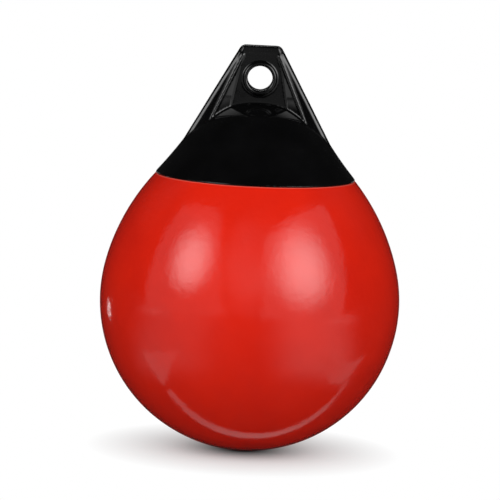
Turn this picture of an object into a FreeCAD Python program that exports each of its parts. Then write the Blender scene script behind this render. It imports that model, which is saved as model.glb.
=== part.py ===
import FreeCAD, Part
import os
import Sketcher

# Inflatable anchor buoy: a blown vinyl ball with an open neck, a moulded head with the
# rope eye that laps over that neck, and a screw valve in the back of the head.
#
# Every body is drawn about the ball's centre, +Z up, rope eye bored along Y, and is then
# placed so that the origin lies on the vertical axis at the waterline of the empty buoy.
# The three valve pieces are drawn about their own axis, with z = 0 on the valve pad's face.
# Sizes are in millimetres and degrees.

VECTOR = FreeCAD.Vector
# a coordinate smaller than this lies on the sketch's axis
NEARLY_ZERO = 1e-9
# how near a point must be to the line it is taken to lie on
ON_LINE = 0.15
# a cut that takes less than this, in cubic millimetres, has missed
LEAST_CUT = 1.0
# any turn at all, so that a placement keeps its axis until its formula sets the angle
FIRST_TURN = 1.0

# name, value, what it sets
DIMENSIONS = [
    # ball
    ("ball_radius", 114.3, "inflated ball at its equator"),
    ("shoulder_start", 12.8, "latitude where the ball turns into the flatter shoulder"),
    ("shoulder_radius", 163.0, "radius of the shoulder's curve"),
    ("seam_latitude", 41.0, "slope of the shoulder where the head begins"),
    ("ball_wall", 2.5, "vinyl wall of the ball and of its neck"),
    ("neck_turn", 4.0, "how far before the seam the ball's inside turns into its neck"),
    ("draught", 47.0, "depth of the ball's lowest point below the waterline"),
    # lap joint between ball and head
    ("skirt_rise", 0.6, "how far the head's skirt stands proud of the ball"),
    ("skirt_wall", 2.5, "thickness of the head's skirt over the ball's neck"),
    ("skirt_round", 0.4, "rounding of the skirt's lower outer edge"),
    ("lap_length", 12.0, "length of the ball's neck inside the skirt"),
    ("bond_gap", 0.1, "gap filled by the weld between two bonded pieces"),
    # neck and dome of the head
    ("flare_radius", 300.0, "radius of the hollow curve from skirt to dome"),
    ("flare_end", 34.5, "slope where that curve meets the dome"),
    ("dome_wall", 6.5, "wall of the dome"),
    # tab with the rope eye
    ("tab_rise", 43.25, "top of the tab above the dome"),
    ("tab_root_rise", 3.6, "hidden lower end of the tab above the seam"),
    ("tab_half_width", 14.85, "half width of the tab at its top"),
    ("tab_side_angle", 29.1, "spread of the tab's sides from the vertical"),
    ("tab_corner", 5.2, "rounding of the tab's top corners"),
    ("tab_round", 1.0, "rounding of the tab's outer edges"),
    ("floor_round", 2.0, "hollow where the web meets the pocket's flanks"),
    ("mouth_round", 1.0, "rounding where the flanks meet the ribs' crests"),
    ("rim_half", 5.5, "half thickness of the tab's outer rim at the top"),
    ("rim_angle", 3.7, "spread of the rim's thickness"),
    ("crest_half", 7.0, "half thickness over the ribs at the top"),
    ("crest_angle", 10.5, "spread of the ribs' thickness"),
    ("crest_half_width", 12.7, "half width to the ribs' outer edge at the top"),
    ("crest_side_angle", 23.6, "spread of that edge"),
    ("web_half", 8.0, "half thickness of the web between the ribs"),
    ("pocket_half_width", 12.7, "half width of the web's flat at the top"),
    ("pocket_side_angle", 10.6, "spread of that flat"),
    ("pocket_flank", 54.0, "slope of the pocket's flanks, from the bore's direction"),
    ("eye_radius", 9.5, "rope eye's bore"),
    ("eye_drop", 24.4, "rope eye's centre below the top of the tab"),
    ("bead_radius", 1.6, "rounding of the bead around the rope eye"),
    ("bead_rise", 2.8, "how far the bead stands proud of the web"),
    # valve pad and valve
    ("valve_rise", 31.4, "way up the neck's surface from the seam to the middle of the valve"),
    ("pad_rise", 0.8, "valve pad's face above the neck"),
    ("pad_margin", 2.5, "valve pad around the flange"),
    ("pad_round", 0.6, "rounding of the pad's edge"),
    ("pad_bite", 3.7, "pad's depth in the neck's wall, where it narrows to its inner boss"),
    ("boss_wall", 3.0, "wall of the inner boss around the valve"),
    ("flange_width", 3.0, "valve's flange around its barrel"),
    ("flange_sunk", 1.8, "depth of the flange's seat"),
    ("flange_rise", 0.3, "flange above the pad's face"),
    ("barrel_wall", 1.5, "valve's barrel around the recess for the plug's head"),
    ("barrel_reach", 1.5, "barrel's inner end beyond the plug's"),
    ("barrel_proud", 2.0, "barrel's inner end beyond the boss"),
    ("edge_round", 0.3, "small rounding of the valve's edges"),
    # plug and seal
    ("plug_head_height", 2.0, "height of that head"),
    ("plug_head_gap", 0.4, "clearance around the head in its recess"),
    ("plug_rise", 0.5, "top of the head above the pad's face"),
    ("slot_width", 1.6, "coin slot in the head"),
    ("slot_depth", 1.1, "depth of the slot"),
    ("seal_thickness", 1.5, "section of the sealing ring"),
    ("seal_gap", 0.05, "clearance above and below the ring"),
    ("seal_bore_gap", 0.1, "clearance between the ring and the plug's shank"),
    ("thread_radius", 4.0, "outer radius of the plug's thread and collar"),
    ("thread_pitch", 2.0, "pitch of the right-hand thread"),
    ("thread_depth", 0.8, "height of the thread's ridge"),
    ("thread_base", 1.1, "width of the ridge at its foot"),
    ("thread_crest", 0.5, "width of the ridge at its top"),
    ("thread_gap", 0.2, "clearance all round between plug and barrel"),
    ("thread_lead", 2.0, "turns that the barrel's thread runs on past each end of the plug's"),
    ("shank_length", 10.0, "length of the shank below the head"),
]

# name, formula, what it gives; later rows may use earlier ones
WORKED = [
    ("shoulder_x", "(dims.ball_radius - dims.shoulder_radius) * cos(dims.shoulder_start)",
     "centre of the shoulder's curve, out from the axis"),
    ("shoulder_z", "(dims.ball_radius - dims.shoulder_radius) * sin(dims.shoulder_start)",
     "centre of the shoulder's curve, up"),
    ("seam_x", "worked.shoulder_x + dims.shoulder_radius * cos(dims.seam_latitude)",
     "ball's surface at the seam, out from the axis"),
    ("seam_z", "worked.shoulder_z + dims.shoulder_radius * sin(dims.seam_latitude)",
     "ball's surface at the seam, up"),
    ("out_x", "cos(dims.seam_latitude)", "direction square to the surface at the seam"),
    ("out_z", "sin(dims.seam_latitude)", "direction square to the surface at the seam"),
    ("flare_x", "worked.seam_x + (dims.flare_radius + dims.skirt_rise) * worked.out_x",
     "centre of the flare's curve, out from the axis"),
    ("flare_z", "worked.seam_z + (dims.flare_radius + dims.skirt_rise) * worked.out_z",
     "centre of the flare's curve, up"),
    ("dome_radius", "worked.flare_x / cos(dims.flare_end) - dims.flare_radius",
     "dome that the flare runs into"),
    ("dome_z", "worked.flare_z - (dims.flare_radius + worked.dome_radius) * sin(dims.flare_end)",
     "centre of the dome, up"),
    ("dome_inner", "worked.dome_radius - dims.dome_wall", "inside of the dome"),
    ("tab_top", "worked.dome_z + worked.dome_radius + dims.tab_rise", "top of the tab"),
    ("tab_root", "worked.seam_z + dims.tab_root_rise", "hidden lower end of the tab"),
    ("tab_fall", "worked.tab_top - worked.tab_root", "length of the tab with its hidden end"),
    ("root_half", "dims.crest_half + worked.tab_fall * tan(dims.crest_angle)",
     "half thickness over the ribs at the hidden end"),
    ("clear_half", "2 * worked.root_half", "reach of the tab's cuts, well outside the ribs"),
    ("corner_tangent", "dims.tab_corner * tan(45 - dims.tab_side_angle / 2)",
     "reach of the corner's rounding along top and side"),
    ("eye_z", "worked.tab_top - dims.eye_drop", "centre of the rope eye"),
    ("bead_y", "dims.web_half + dims.bead_rise - dims.bead_radius", "centre of the bead's rounding"),
    ("valve_slope", "dims.seam_latitude - dims.valve_rise / dims.flare_radius * 180 / pi",
     "slope of the valve's axis above the horizontal"),
    ("valve_y", "worked.flare_x - (dims.flare_radius - dims.pad_rise) * cos(worked.valve_slope)",
     "middle of the pad's face, back from the axis"),
    ("valve_z", "worked.flare_z - (dims.flare_radius - dims.pad_rise) * sin(worked.valve_slope)",
     "middle of the pad's face, up"),
    ("core_radius", "dims.thread_radius - dims.thread_depth", "plug's core inside the thread"),
    ("plug_head", "dims.thread_radius + dims.seal_bore_gap + dims.seal_thickness",
     "radius of the plug's head, which covers the ring"),
    ("recess_radius", "worked.plug_head + dims.plug_head_gap", "recess for the plug's head"),
    ("barrel_radius", "worked.recess_radius + dims.barrel_wall", "valve's barrel"),
    ("bore_radius", "worked.barrel_radius + dims.bond_gap", "hole in the head for the barrel"),
    ("flange_radius", "worked.barrel_radius + dims.flange_width", "valve's flange"),
    ("pad_radius", "worked.flange_radius + dims.pad_margin", "valve pad"),
    ("plug_under", "dims.plug_rise - dims.plug_head_height", "underside of the plug's head"),
    ("plug_tip", "worked.plug_under - dims.shank_length", "inner end of the plug"),
    ("barrel_end", "worked.plug_tip - dims.barrel_reach", "inner end of the barrel"),
    ("boss_end", "worked.barrel_end + dims.barrel_proud", "inner end of the boss"),
    ("seal_z", "worked.plug_under - dims.seal_gap - dims.seal_thickness / 2", "middle of the ring"),
    ("seal_seat", "worked.seal_z - dims.seal_thickness / 2 - dims.seal_gap", "seat of the ring"),
    ("seal_radius", "dims.thread_radius + dims.seal_bore_gap + dims.seal_thickness / 2",
     "middle line of the ring"),
    ("ridge_start", "worked.plug_tip + dims.thread_pitch / 2", "middle of the ridge's first turn"),
    ("ridge_rise", "worked.seal_seat - dims.thread_base - worked.ridge_start",
     "rise of the ridge along the core"),
    ("run_on", "dims.thread_lead * dims.thread_pitch", "barrel's thread past each end of the ridge"),
    ("lift", "dims.ball_radius - dims.draught", "ball's centre above the waterline"),
]


def make_sheet(doc):
    """The driving dimensions, one row each: name, value, note."""
    sheet = doc.addObject("Spreadsheet::Sheet", "dims")
    for row, (name, value, note) in enumerate(DIMENSIONS, start=1):
        sheet.set(f"A{row}", name)
        sheet.set(f"B{row}", str(value))
        sheet.setAlias(f"B{row}", name)
        sheet.set(f"C{row}", note)
    doc.recompute()
    return sheet


def make_worked(doc):
    """Values that follow from the sheet, kept as one set of formulas."""
    worked = doc.addObject("App::VarSet", "worked")
    for name, formula, note in WORKED:
        worked.addProperty("App::PropertyFloat", name, "Worked", note)
        worked.setExpression(name, formula)
        doc.recompute()
    return worked


def value_of(item, formula):
    """A formula's value now, as a plain number."""
    return float(item.evalExpression(formula))


def new_body(doc, name):
    body = doc.addObject("PartDesign::Body", name)
    body.Label = name
    return body


def origin_plane(body, role):
    return next(item for item in body.Origin.OriginFeatures if item.Role == role)


def new_sketch(body, name, role, x="0", y="0", z="0", turn="0"):
    """A sketch on one of the body's origin planes, moved and turned within it."""
    sketch = body.newObject("Sketcher::SketchObject", name)
    sketch.AttachmentSupport = (origin_plane(body, role), "")
    sketch.MapMode = "FlatFace"
    for axis, formula in (("x", x), ("y", y), ("z", z)):
        if formula != "0":
            sketch.setExpression(f"AttachmentOffset.Base.{axis}", formula)
    if turn != "0":
        sketch.AttachmentOffset = FreeCAD.Placement(
            VECTOR(), FreeCAD.Rotation(VECTOR(0, 0, 1), FIRST_TURN))
        sketch.setExpression("AttachmentOffset.Rotation.Angle", turn)
    return sketch


def fix(sketch, kind, geometry, point, formula):
    """Hold one coordinate of a point at a formula's value, measured from the sketch's origin."""
    value = value_of(sketch, formula)
    if abs(value) < NEARLY_ZERO:
        axis = -2 if kind == "DistanceX" else -1
        sketch.addConstraint(Sketcher.Constraint("PointOnObject", geometry, point, axis))
        return
    if value > 0:
        index = sketch.addConstraint(Sketcher.Constraint(kind, -1, 1, geometry, point, value))
        sketch.setExpression(f"Constraints[{index}]", formula)
    else:
        index = sketch.addConstraint(Sketcher.Constraint(kind, geometry, point, -1, 1, -value))
        sketch.setExpression(f"Constraints[{index}]", f"-({formula})")


def arc_between(start, end, radius, left):
    """Arc from start to end; left tells on which side of the way its centre lies."""
    chord = end - start
    middle = (start + end) / 2
    reach = max(radius ** 2 - (chord.Length / 2) ** 2, 0.0) ** 0.5
    across = VECTOR(-chord.y, chord.x, 0).normalize()
    centre = middle + across * (reach if left else -reach)
    first, last = (start, end) if left else (end, start)
    angles = [(point - centre) for point in (first, last)]
    angles = [VECTOR(1, 0, 0).getAngle(a) * (1 if a.y >= 0 else -1) for a in angles]
    return Part.ArcOfCircle(Part.Circle(centre, VECTOR(0, 0, 1), radius), *angles)


def outline(sketch, corners, arcs=None):
    """A closed outline. corners are pairs of formulas; arcs gives, for the side that starts
    at that corner, the arc's radius and whether its centre lies to the left of the way."""
    arcs = arcs or {}
    points = [VECTOR(value_of(sketch, x), value_of(sketch, y), 0) for x, y in corners]
    sides = []
    for index, start in enumerate(points):
        end = points[(index + 1) % len(points)]
        if index in arcs:
            radius, left = arcs[index]
            number = sketch.addGeometry(arc_between(start, end, value_of(sketch, radius), left))
            sides.append((number, 1, 2) if left else (number, 2, 1))
            rule = sketch.addConstraint(
                Sketcher.Constraint("Radius", number, value_of(sketch, radius)))
            sketch.setExpression(f"Constraints[{rule}]", radius)
        else:
            number = sketch.addGeometry(Part.LineSegment(start, end))
            sides.append((number, 1, 2))
    for index, (number, first, last) in enumerate(sides):
        after, after_first, _ = sides[(index + 1) % len(sides)]
        sketch.addConstraint(Sketcher.Constraint("Coincident", number, last, after, after_first))
    for (number, first, _), (x, y) in zip(sides, corners):
        fix(sketch, "DistanceX", number, first, x)
        fix(sketch, "DistanceY", number, first, y)


def disc(sketch, x, y, radius):
    """A circle with its centre and radius held by formulas."""
    centre = VECTOR(value_of(sketch, x), value_of(sketch, y), 0)
    size = value_of(sketch, radius)
    number = sketch.addGeometry(Part.Circle(centre, VECTOR(0, 0, 1), size))
    rule = sketch.addConstraint(Sketcher.Constraint("Radius", number, size))
    sketch.setExpression(f"Constraints[{rule}]", radius)
    fix(sketch, "DistanceX", number, 3, x)
    fix(sketch, "DistanceY", number, 3, y)


def turned(body, kind, name, sketch, axis="V_Axis"):
    """A full Revolution or Groove of the sketch about one of its own axes."""
    feature = body.newObject(f"PartDesign::{kind}", name)
    feature.Profile = sketch
    feature.ReferenceAxis = (sketch, [axis])
    feature.Angle = 360.0
    body.Document.recompute()
    return feature


def loft(body, kind, name, first, second):
    feature = body.newObject(f"PartDesign::{kind}", name)
    feature.Profile = first
    feature.Sections = [second]
    feature.Ruled = True
    body.Document.recompute()
    return feature


def mirrored(body, name, feature, role):
    """The feature again on the other side of one of the body's origin planes."""
    copy = body.newObject("PartDesign::Mirrored", name)
    copy.Originals = [feature]
    copy.MirrorPlane = (origin_plane(body, role), [""])
    body.Tip = copy
    body.Document.recompute()
    return copy


def cut_through(body, name, sketch, length):
    """A pocket to both sides of its sketch, length in all."""
    feature = body.newObject("PartDesign::Pocket", name)
    feature.Profile = sketch
    feature.SideType = "Symmetric"
    feature.setExpression("Length", length)
    body.Document.recompute()
    return feature


def must_cut(feature, before):
    """A pocket or groove that points the wrong way removes nothing and shows no error."""
    if feature.Shape.Volume > before - LEAST_CUT:
        raise RuntimeError(f"{feature.Name} removed nothing")


def edges_where(body, belongs, shortest=0.0):
    """Names of the edges of the body so far whose two ends and middle all pass the test."""
    names = []
    for number, edge in enumerate(body.Tip.Shape.Edges, start=1):
        middle = (edge.FirstParameter + edge.LastParameter) / 2
        places = (edge.FirstParameter, middle, edge.LastParameter)
        if edge.Length > shortest and all(belongs(edge.valueAt(place)) for place in places):
            names.append(f"Edge{number}")
    return names


def rounded(body, name, edges, radius):
    """A fillet along the named edges of the body so far."""
    if not edges:
        raise RuntimeError(f"{name} found no edges")
    feature = body.newObject("PartDesign::Fillet", name)
    feature.Base = (feature.BaseFeature or body.Tip, edges)
    feature.setExpression("Radius", radius)
    body.Document.recompute()
    return feature


def from_seam(out, along):
    """A point given by its distance out of the ball's surface and its distance up the
    surface from the seam, as two formulas."""
    x = f"worked.seam_x + ({out}) * worked.out_x - ({along}) * worked.out_z"
    z = f"worked.seam_z + ({out}) * worked.out_z + ({along}) * worked.out_x"
    return x, z


def set_upright(body):
    """Drawn about the ball's centre, placed above the waterline."""
    body.setExpression("Placement.Base.z", "worked.lift")


def set_on_valve_axis(body):
    """Drawn about the valve's axis, placed on the back of the neck."""
    body.Placement = FreeCAD.Placement(VECTOR(), FreeCAD.Rotation(VECTOR(-1, 0, 0), FIRST_TURN))
    body.setExpression("Placement.Base.y", "worked.valve_y")
    body.setExpression("Placement.Base.z", "worked.valve_z + worked.lift")
    body.setExpression("Placement.Rotation.Angle", "90 - worked.valve_slope")


def thread_section(body, name, below, gap):
    """Section of the thread's ridge, or with a gap the groove that it runs in."""
    sketch = new_sketch(body, name, "XZ_Plane", y=f"worked.ridge_start - {below}")
    root = "(worked.core_radius - dims.thread_depth / 2)"
    slope = "((dims.thread_base - dims.thread_crest) / 2 / dims.thread_depth)"
    crest = f"(dims.thread_crest / 2 + {gap})"
    top = f"(dims.thread_radius + {gap})"
    foot = f"({crest} + ({top} - {root}) * {slope})"
    corners = [(root, f"-{foot}"), (top, f"-{crest}"), (top, crest), (root, foot)]
    outline(sketch, corners)
    return sketch


def helix(body, kind, name, sketch, rise):
    """A right-hand ridge or groove along the body's own axis."""
    feature = body.newObject(f"PartDesign::{kind}", name)
    feature.Profile = sketch
    feature.ReferenceAxis = (sketch, ["V_Axis"])
    feature.Mode = "pitch-height-angle"
    feature.setExpression("Pitch", "dims.thread_pitch")
    feature.setExpression("Height", rise)
    body.Document.recompute()
    return feature


def make_float_body(doc):
    """Blown ball with a rebated neck that the head's skirt laps over."""
    body = new_body(doc, "float_body")
    sketch = new_sketch(body, "ball_section", "XZ_Plane")
    neck_out = "dims.skirt_rise - dims.skirt_wall - dims.bond_gap"
    neck_in = f"{neck_out} - dims.ball_wall"
    inner = "(dims.ball_radius - dims.ball_wall)"
    inner_shoulder = "(dims.shoulder_radius - dims.ball_wall)"
    neck_start = "dims.seam_latitude - dims.neck_turn"
    corners = [
        ("0", "-dims.ball_radius"),
        ("dims.ball_radius * cos(dims.shoulder_start)", "dims.ball_radius * sin(dims.shoulder_start)"),
        ("worked.seam_x", "worked.seam_z"),
        from_seam(neck_out, "0"),
        from_seam(neck_out, "dims.lap_length"),
        from_seam(neck_in, "dims.lap_length"),
        from_seam(neck_in, "-dims.ball_wall"),
        (f"worked.shoulder_x + {inner_shoulder} * cos({neck_start})",
         f"worked.shoulder_z + {inner_shoulder} * sin({neck_start})"),
        (f"{inner} * cos(dims.shoulder_start)", f"{inner} * sin(dims.shoulder_start)"),
        ("0", f"-{inner}"),
    ]
    arcs = {
        0: ("dims.ball_radius", True),
        1: ("dims.shoulder_radius", True),
        7: (inner_shoulder, False),
        8: (inner, False),
    }
    outline(sketch, corners, arcs)
    turned(body, "Revolution", "shell", sketch)
    set_upright(body)
    return body


def rim_at(fall):
    """Corner of the tab's cross-section at its rim, fall below its top."""
    return (f"dims.tab_half_width + ({fall}) * tan(dims.tab_side_angle)",
            f"dims.rim_half + ({fall}) * tan(dims.rim_angle)")


def crest_at(fall):
    """Corner of that cross-section at the outer edge of a rib's crest."""
    return (f"dims.crest_half_width + ({fall}) * tan(dims.crest_side_angle)",
            f"dims.crest_half + ({fall}) * tan(dims.crest_angle)")


def floor_at(fall):
    """Corner of the pocket's cross-section, where the web meets a flank."""
    return f"dims.pocket_half_width + ({fall}) * tan(dims.pocket_side_angle)", "dims.web_half"


def mouth_at(fall):
    """Corner where a flank meets the crest of its rib."""
    crest_y = crest_at(fall)[1]
    floor_x, floor_y = floor_at(fall)
    return f"{floor_x} + ({crest_y} - {floor_y}) * tan(dims.pocket_flank)", crest_y


def lies_on(body, corner_at):
    """Test for points on one of the tab's four long lines through such a corner."""
    top = value_of(body, "worked.tab_top")
    fall = value_of(body, "worked.tab_fall")
    first = [value_of(body, formula) for formula in corner_at("0")]
    last = [value_of(body, formula) for formula in corner_at("worked.tab_fall")]

    def test(point):
        share = (top - point.z) / fall
        x, y = (start + (end - start) * share for start, end in zip(first, last))
        return abs(abs(point.x) - x) < ON_LINE and abs(abs(point.y) - y) < ON_LINE
    return test


def tab_section(body, name, fall):
    """Cross-section of the tab, fall below its top: rims at the sides, ribs front and back."""
    sketch = new_sketch(body, name, "XY_Plane", z=f"worked.tab_top - ({fall})")
    quarter = [rim_at(fall), crest_at(fall)]
    corners = list(quarter)
    corners += [(f"-({x})", y) for x, y in reversed(quarter)]
    corners += [(f"-({x})", f"-({y})") for x, y in quarter]
    corners += [(x, f"-({y})") for x, y in reversed(quarter)]
    outline(sketch, corners)
    return sketch


def pocket_section(body, name, fall):
    """Cross-section of the front pocket, fall below the tab's top, open towards -Y."""
    sketch = new_sketch(body, name, "XY_Plane", z=f"worked.tab_top - ({fall})")
    floor_x, floor_y = floor_at(fall)
    mouth_x = f"{floor_x} + (worked.clear_half - {floor_y}) * tan(dims.pocket_flank)"
    corners = [
        (floor_x, f"-{floor_y}"),
        (f"-({floor_x})", f"-{floor_y}"),
        (f"-({mouth_x})", "-worked.clear_half"),
        (mouth_x, "-worked.clear_half"),
    ]
    outline(sketch, corners)
    return sketch


def corner_cut(sketch, side):
    """Outline of what the rounding takes off one top corner of the tab."""
    near_x = "dims.tab_half_width - worked.corner_tangent"
    far_x = "dims.tab_half_width + worked.corner_tangent * sin(dims.tab_side_angle)"
    far_z = "worked.tab_top - worked.corner_tangent * cos(dims.tab_side_angle)"
    out_x = f"{far_x} + dims.tab_corner"
    top = "worked.tab_top + dims.tab_corner"
    corners = [(near_x, "worked.tab_top"), (near_x, top), (out_x, top), (out_x, far_z), (far_x, far_z)]
    if side < 0:
        corners = [(f"-({x})", z) for x, z in corners]
    outline(sketch, corners, {4: ("dims.tab_corner", side > 0)})


def round_tab(body):
    """Soft edges of the moulding: the tab's outside, the pockets' floors and their mouths."""
    corner_end = value_of(body, "worked.tab_top - worked.corner_tangent * cos(dims.tab_side_angle)")
    rim_half = value_of(body, "dims.rim_half")
    long = value_of(body, "worked.tab_fall / 2")

    def at_top(point):
        return point.z > corner_end - ON_LINE and abs(point.y) > rim_half - ON_LINE

    def along(corner_at):
        return edges_where(body, lies_on(body, corner_at), long)

    outside = along(rim_at) + along(crest_at) + edges_where(body, at_top)
    rounded(body, "tab_edges", outside, "dims.tab_round")
    rounded(body, "pocket_floors", along(floor_at), "dims.floor_round")
    rounded(body, "pocket_mouths", along(mouth_at), "dims.mouth_round")


def make_head_shell(body):
    """Neck and dome, solid at first, with the skirt's rounded lower edge."""
    sketch = new_sketch(body, "neck_and_dome", "XZ_Plane")
    flare_end = ("worked.dome_radius * cos(dims.flare_end)",
                 "worked.dome_z + worked.dome_radius * sin(dims.flare_end)")
    corners = [
        ("0", "worked.seam_z"),
        from_seam("dims.skirt_rise - dims.skirt_wall", "dims.bond_gap"),
        from_seam("dims.skirt_rise - dims.skirt_round", "dims.bond_gap"),
        from_seam("dims.skirt_rise", "dims.bond_gap + dims.skirt_round"),
        flare_end,
        ("0", "worked.dome_z + worked.dome_radius"),
    ]
    arcs = {
        2: ("dims.skirt_round", True),
        3: ("dims.flare_radius", False),
        4: ("worked.dome_radius", True),
    }
    outline(sketch, corners, arcs)
    return turned(body, "Revolution", "shell", sketch)


def hollow_head(body):
    """Air space under the dome, with the rebate that takes the ball's neck."""
    sketch = new_sketch(body, "air_space", "XZ_Plane")
    lap_out = "dims.skirt_rise - dims.skirt_wall"
    lap_in = f"{lap_out} - dims.ball_wall - 2 * dims.bond_gap"
    past_lap = "dims.lap_length + dims.bond_gap"
    inner_end = ("worked.dome_inner * cos(dims.flare_end)",
                 "worked.dome_z + worked.dome_inner * sin(dims.flare_end)")
    corners = [
        ("0", "worked.seam_z - dims.lap_length"),
        from_seam(lap_out, "-dims.lap_length"),
        from_seam(lap_out, past_lap),
        from_seam(lap_in, past_lap),
        inner_end,
        ("0", "worked.dome_z + worked.dome_inner"),
    ]
    outline(sketch, corners, {4: ("worked.dome_inner", True)})
    before = body.Tip.Shape.Volume
    must_cut(turned(body, "Groove", "hollow", sketch), before)


def add_eye(body):
    """Rounded bead around the rope eye on both faces of the web, and its bore."""
    bead = new_sketch(body, "bead_section", "YZ_Plane", y="worked.eye_z")
    middle = "dims.eye_radius + dims.bead_radius"
    outer = "dims.eye_radius + 2 * dims.bead_radius"
    peak = "worked.bead_y + dims.bead_radius"
    corners = [
        ("-worked.bead_y", "dims.eye_radius"),
        ("worked.bead_y", "dims.eye_radius"),
        (peak, middle),
        ("worked.bead_y", outer),
        ("-worked.bead_y", outer),
        (f"-({peak})", middle),
    ]
    outline(bead, corners, {side: ("dims.bead_radius", True) for side in (1, 2, 4, 5)})
    turned(body, "Revolution", "bead", bead, "H_Axis")
    bore = new_sketch(body, "eye_bore", "XZ_Plane")
    disc(bore, "0", "worked.eye_z", "dims.eye_radius")
    before = body.Tip.Shape.Volume
    must_cut(cut_through(body, "rope_eye", bore, "2 * worked.clear_half"), before)


def add_valve_seat(body):
    """Flat round pad on the back of the neck, its inner boss, and the stepped hole."""
    place = {"x": "worked.valve_y", "y": "worked.valve_z", "turn": "worked.valve_slope"}
    pad = new_sketch(body, "pad_section", "YZ_Plane", **place)
    boss = "worked.bore_radius + dims.boss_wall"
    pad_under = "-(dims.pad_rise + dims.pad_bite)"
    corners = [
        ("0", "0"),
        ("worked.boss_end", "0"),
        ("worked.boss_end", boss),
        (pad_under, boss),
        (pad_under, "worked.pad_radius"),
        ("-dims.pad_round", "worked.pad_radius"),
        ("0", "worked.pad_radius - dims.pad_round"),
    ]
    outline(pad, corners, {5: ("dims.pad_round", False)})
    turned(body, "Revolution", "valve_pad", pad, "H_Axis")
    hole = new_sketch(body, "valve_hole_section", "YZ_Plane", **place)
    seat = "worked.flange_radius + dims.bond_gap"
    past_boss = "2 * worked.boss_end"
    corners = [
        ("worked.pad_radius", "0"),
        (past_boss, "0"),
        (past_boss, "worked.bore_radius"),
        ("-dims.flange_sunk", "worked.bore_radius"),
        ("-dims.flange_sunk", seat),
        ("worked.pad_radius", seat),
    ]
    outline(hole, corners)
    before = body.Tip.Shape.Volume
    must_cut(turned(body, "Groove", "valve_hole", hole, "H_Axis"), before)


def make_rope_head(doc):
    """Moulded head: ribbed tab with the rope eye, dome, neck and skirt."""
    body = new_body(doc, "rope_head")
    top = tab_section(body, "tab_top_section", "0")
    root = tab_section(body, "tab_root_section", "worked.tab_fall")
    loft(body, "AdditiveLoft", "tab", top, root)
    pocket_top = pocket_section(body, "pocket_top_section", "0")
    pocket_root = pocket_section(body, "pocket_root_section", "worked.tab_fall")
    before = body.Tip.Shape.Volume
    pocket = loft(body, "SubtractiveLoft", "front_pocket", pocket_top, pocket_root)
    must_cut(pocket, before)
    before = pocket.Shape.Volume
    must_cut(mirrored(body, "back_pocket", pocket, "XZ_Plane"), before)
    corners = new_sketch(body, "tab_corners", "XZ_Plane")
    corner_cut(corners, 1)
    corner_cut(corners, -1)
    before = body.Tip.Shape.Volume
    must_cut(cut_through(body, "rounded_corners", corners, "2 * worked.clear_half"), before)
    round_tab(body)
    make_head_shell(body)
    add_eye(body)
    hollow_head(body)
    add_valve_seat(body)
    set_upright(body)
    return body


def make_valve_body(doc):
    """Flanged insert bonded into the head, with the recess for seal and plug head."""
    body = new_body(doc, "valve_body")
    sketch = new_sketch(body, "insert_section", "XZ_Plane")
    bore = "worked.core_radius + dims.thread_gap"
    under = "-dims.flange_sunk + dims.bond_gap"
    corners = [
        (bore, "worked.barrel_end"),
        ("worked.barrel_radius - dims.edge_round", "worked.barrel_end"),
        ("worked.barrel_radius", "worked.barrel_end + dims.edge_round"),
        ("worked.barrel_radius", under),
        ("worked.flange_radius", under),
        ("worked.flange_radius", "dims.flange_rise - dims.edge_round"),
        ("worked.flange_radius - dims.edge_round", "dims.flange_rise"),
        ("worked.recess_radius", "dims.flange_rise"),
        ("worked.recess_radius", "worked.seal_seat"),
        (bore, "worked.seal_seat"),
    ]
    outline(sketch, corners, {1: ("dims.edge_round", True), 5: ("dims.edge_round", True)})
    turned(body, "Revolution", "insert", sketch)
    groove = thread_section(body, "groove_section", "worked.run_on", "dims.thread_gap")
    before = body.Tip.Shape.Volume
    rise = "worked.ridge_rise + 2 * worked.run_on"
    cut = helix(body, "SubtractiveHelix", "inner_thread", groove, rise)
    must_cut(cut, before)
    set_on_valve_axis(body)
    return body


def make_seal_ring(doc):
    """Rubber ring that the plug's head presses on its seat."""
    body = new_body(doc, "seal_ring")
    sketch = new_sketch(body, "ring_section", "XZ_Plane")
    disc(sketch, "worked.seal_radius", "worked.seal_z", "dims.seal_thickness / 2")
    turned(body, "Revolution", "ring", sketch)
    set_on_valve_axis(body)
    return body


def make_screw_plug(doc):
    """Slotted screw plug that closes the valve."""
    body = new_body(doc, "screw_plug")
    sketch = new_sketch(body, "plug_section", "XZ_Plane")
    collar = "worked.seal_seat + dims.seal_gap"
    corners = [
        ("0", "worked.plug_tip"),
        ("worked.core_radius - dims.edge_round", "worked.plug_tip"),
        ("worked.core_radius", "worked.plug_tip + dims.edge_round"),
        ("worked.core_radius", collar),
        ("dims.thread_radius", collar),
        ("dims.thread_radius", "worked.plug_under"),
        ("worked.plug_head", "worked.plug_under"),
        ("worked.plug_head", "dims.plug_rise - dims.edge_round"),
        ("worked.plug_head - dims.edge_round", "dims.plug_rise"),
        ("0", "dims.plug_rise"),
    ]
    outline(sketch, corners, {1: ("dims.edge_round", True), 7: ("dims.edge_round", True)})
    turned(body, "Revolution", "blank", sketch)
    ridge = thread_section(body, "ridge_section", "0", "0")
    helix(body, "AdditiveHelix", "thread", ridge, "worked.ridge_rise")
    slot = new_sketch(body, "slot_outline", "XY_Plane", z="dims.plug_rise")
    half = "dims.slot_width / 2"
    reach = "worked.plug_head + dims.slot_width"
    outline(slot, [(f"-({reach})", f"-{half}"), (reach, f"-{half}"), (reach, half), (f"-({reach})", half)])
    before = body.Tip.Shape.Volume
    pocket = body.newObject("PartDesign::Pocket", "coin_slot")
    pocket.Profile = slot
    pocket.setExpression("Length", "dims.slot_depth")
    doc.recompute()
    must_cut(pocket, before)
    set_on_valve_axis(body)
    return body


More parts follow.
